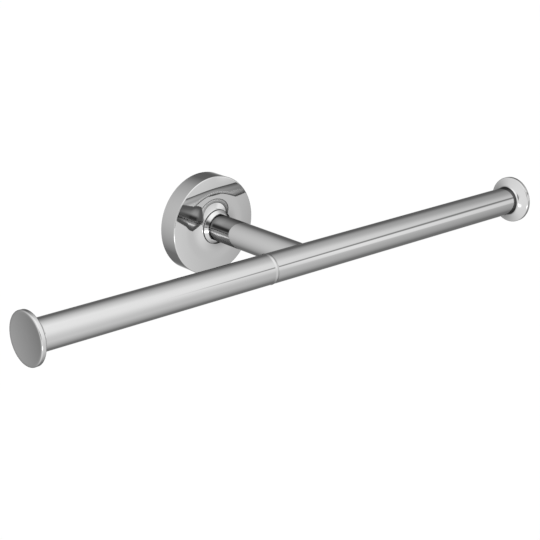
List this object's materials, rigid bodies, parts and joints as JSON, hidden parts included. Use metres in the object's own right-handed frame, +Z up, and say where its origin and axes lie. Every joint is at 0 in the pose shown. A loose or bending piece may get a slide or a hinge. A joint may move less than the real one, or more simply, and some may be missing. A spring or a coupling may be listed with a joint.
{
  "type": "toilet roll holder",
  "caption": "Wall-mounted chrome T-bar toilet roll holder for rolls side by side: round wall flange, post, crossbar with button caps.",
  "frame": {"origin": "centre of the wall face, on the post's axis", "axes": "+X along the crossbar to the right as seen from the room, +Y into the wall, +Z up"},
  "size_m": [0.296, 0.0846, 0.0486],
  "materials": {
    "chrome_plate": "polished chrome plate, mirror bright",
    "zinc_steel": "bright zinc plated steel",
    "turned_brass": "plain turned brass"
  },
  "bodies": {
    "root": {"wall_flange": "chrome_plate", "post": "chrome_plate", "bar_right": "chrome_plate", "bar_left": "chrome_plate", "end_cap_right": "chrome_plate", "end_cap_left": "chrome_plate", "wall_bracket": "zinc_steel", "flange_grub_screw": "zinc_steel", "post_dowel_pin": "zinc_steel", "post_tie_bolt": "zinc_steel", "tie_bolt_washer": "zinc_steel", "bar_core": "turned_brass", "seam_plug": "turned_brass", "end_plug_right": "turned_brass", "end_plug_left": "turned_brass"}
  },
  "joints": []
}
